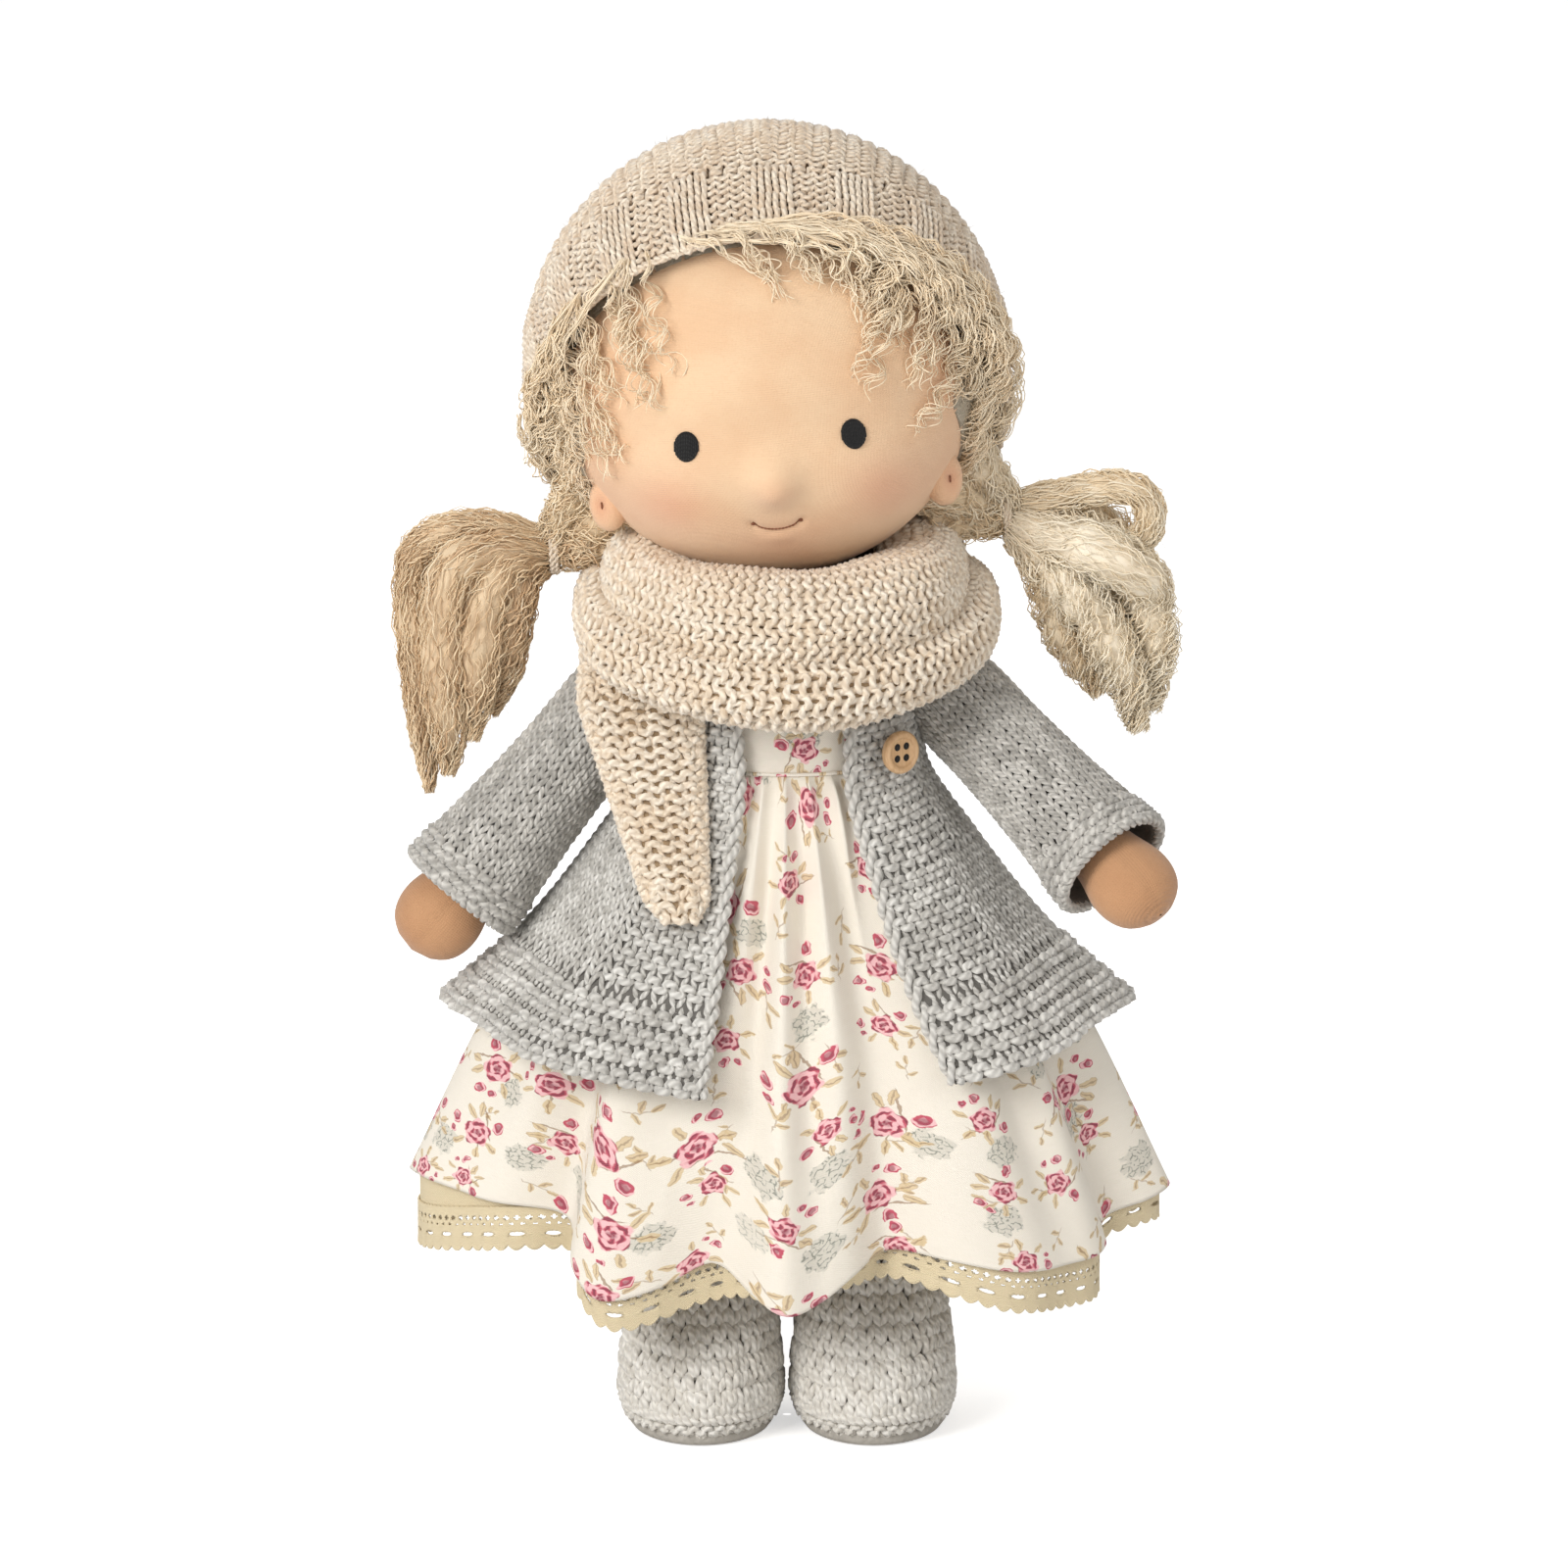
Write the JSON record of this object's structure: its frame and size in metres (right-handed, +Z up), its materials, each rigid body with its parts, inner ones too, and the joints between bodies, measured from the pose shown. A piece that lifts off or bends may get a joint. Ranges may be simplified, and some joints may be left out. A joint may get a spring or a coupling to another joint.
{
  "type": "rag doll",
  "caption": "Standing stuffed cloth doll with knitted hat, scarf and open cardigan, rose-print dress over a lace petticoat, crochet boots and curly side pigtails.",
  "frame": {"origin": "on the floor between the boots, under the middle of the doll", "axes": "+Z up, the face looks towards -Y, and +X is the doll's left"},
  "size_m": [0.1847, 0.1092, 0.3057],
  "materials": {
    "wool_stuffing": "carded wool in a tube of cotton, matte",
    "skin_knit": "fine cotton knit, matte",
    "sewing_thread": "cotton thread",
    "eye_thread": "satin-stitched black thread",
    "mouth_thread": "rust-coloured thread",
    "mohair": "curly mohair locks, soft sheen",
    "oatmeal_knit": "hand-knitted oatmeal wool",
    "rose_print": "printed cotton",
    "linen": "plain-weave linen",
    "elastic": "woven elastic band",
    "lace": "cotton crochet lace",
    "grey_knit": "hand-knitted heather-grey wool",
    "grey_crochet": "crocheted grey wool",
    "button_wood": "pale turned wood, waxed"
  },
  "bodies": {
    "torso": {"torso": "wool_stuffing", "dress_bodice": "rose_print", "dress_skirt": "rose_print", "petticoat": "linen", "petticoat_elastic": "elastic", "petticoat_lace": "lace", "cardigan_back": "grey_knit", "cardigan_left_front": "grey_knit", "cardigan_right_front": "grey_knit", "wooden_button": "button_wood", "button_thread": "sewing_thread", "scarf_wrap": "oatmeal_knit", "scarf_tail": "oatmeal_knit"},
    "head": {"head_core": "wool_stuffing", "head_skin": "skin_knit", "neck_tie": "sewing_thread", "left_ear": "skin_knit", "right_ear": "skin_knit", "left_eye": "eye_thread", "right_eye": "eye_thread", "mouth_stitch": "mouth_thread", "knit_hat": "oatmeal_knit", "hair_cap": "mohair", "left_hair_tie": "oatmeal_knit", "right_hair_tie": "oatmeal_knit"},
    "left_pigtail": {"left_pigtail": "mohair"},
    "right_pigtail": {"right_pigtail": "mohair"},
    "left_arm": {"left_arm": "skin_knit", "left_sleeve": "grey_knit", "left_shoulder_stitching": "sewing_thread"},
    "right_arm": {"right_arm": "skin_knit", "right_sleeve": "grey_knit", "right_shoulder_stitching": "sewing_thread"},
    "left_leg": {"left_leg": "skin_knit", "left_boot_upper": "grey_crochet", "left_boot_sole": "grey_crochet"},
    "right_leg": {"right_leg": "skin_knit", "right_boot_upper": "grey_crochet", "right_boot_sole": "grey_crochet"}
  },
  "joints": [
    {"name": "head_turn", "type": "hinge", "parent": "torso", "child": "head", "pos_m": [0, 0, 0.19], "axis": [-0.0785, 0, 0.9969], "range_deg": [-25, 25]},
    {"name": "left_pigtail_swing", "type": "hinge", "parent": "head", "child": "left_pigtail", "pos_m": [0.05234, 0.008, 0.21318], "axis": [-0.9969, 0, -0.0785], "range_deg": [-25, 25]},
    {"name": "right_pigtail_swing", "type": "hinge", "parent": "head", "child": "right_pigtail", "pos_m": [-0.05532, 0.008, 0.2047], "axis": [-0.9969, 0, -0.0785], "range_deg": [-25, 25]},
    {"name": "left_shoulder", "type": "hinge", "parent": "torso", "child": "left_arm", "pos_m": [0.036, 0, 0.174], "axis": [-1, 0, 0], "range_deg": [-65, 5]},
    {"name": "right_shoulder", "type": "hinge", "parent": "torso", "child": "right_arm", "pos_m": [-0.036, 0, 0.174], "axis": [-1, 0, 0], "range_deg": [-25, 25]},
    {"name": "left_hip", "type": "hinge", "parent": "torso", "child": "left_leg", "pos_m": [0.0145, 0, 0.108], "axis": [-1, 0, 0], "range_deg": [-15, 80], "deforming": ["dress_skirt", "petticoat", "petticoat_lace", "cardigan_left_front", "cardigan_right_front"]},
    {"name": "right_hip", "type": "hinge", "parent": "torso", "child": "right_leg", "pos_m": [-0.0145, 0, 0.108], "axis": [-1, 0, 0], "range_deg": [-15, 80]}
  ],
  "couplings": [
    {"joint": "right_hip", "follows": "left_hip", "ratio": 1}
  ]
}
